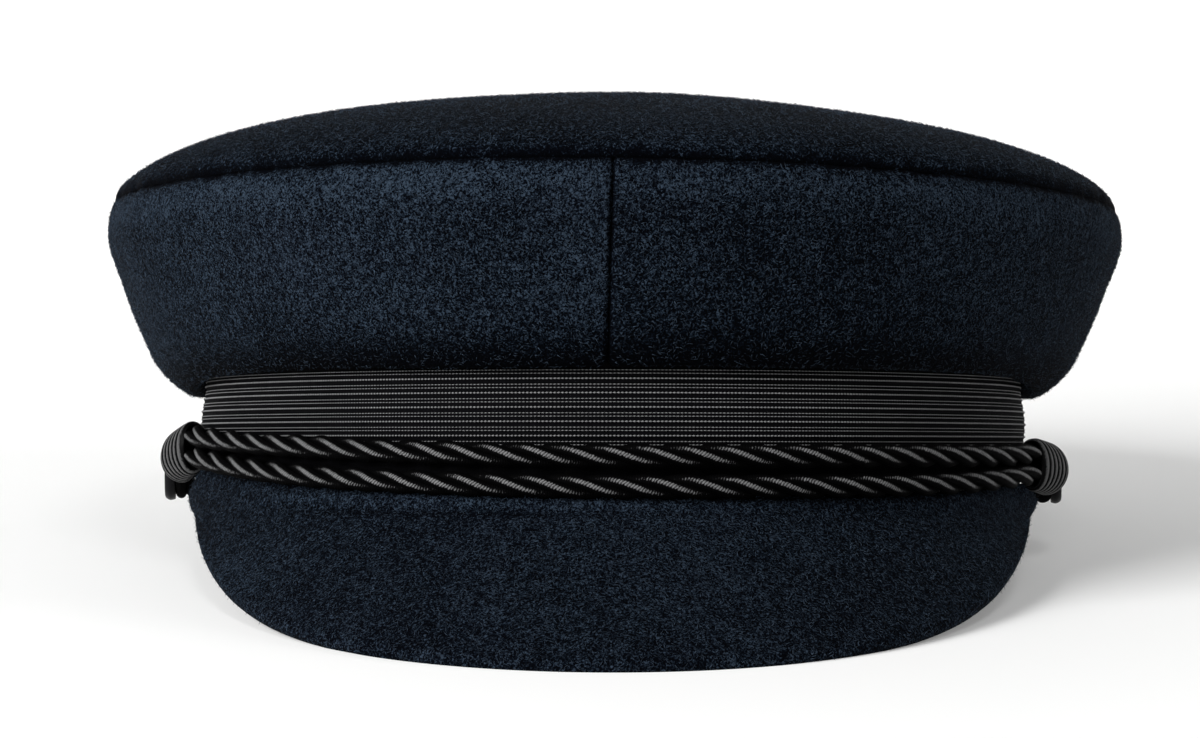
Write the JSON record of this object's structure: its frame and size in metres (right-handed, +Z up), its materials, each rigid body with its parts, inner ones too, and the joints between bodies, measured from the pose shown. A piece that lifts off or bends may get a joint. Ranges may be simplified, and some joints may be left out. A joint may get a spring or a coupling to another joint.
{
  "type": "fisherman cap",
  "caption": "Soft navy wool fisherman cap with a flared crown and domed top, ribbed black band, sloping cloth-covered peak and a twisted cord held by side buttons.",
  "frame": {"origin": "middle of the cap's outline on the surface it rests on", "axes": "+X to the right of someone facing the front of the cap, -Y towards the peak, +Z up"},
  "size_m": [0.2028, 0.2682, 0.0919],
  "materials": {
    "wool": "dark navy milled wool with a short nap",
    "ribbon": "black ribbed ribbon with a soft sheen",
    "cord": "black twisted satin cord",
    "button": "plain black, satin"
  },
  "bodies": {
    "root": {"crown_top": "wool", "crown_side_left": "wool", "crown_side_right": "wool", "band": "ribbon", "peak": "wool", "cord": "cord", "cord_slide_left": "cord", "cord_slide_right": "cord", "button_left": "button", "button_right": "button"}
  },
  "joints": []
}
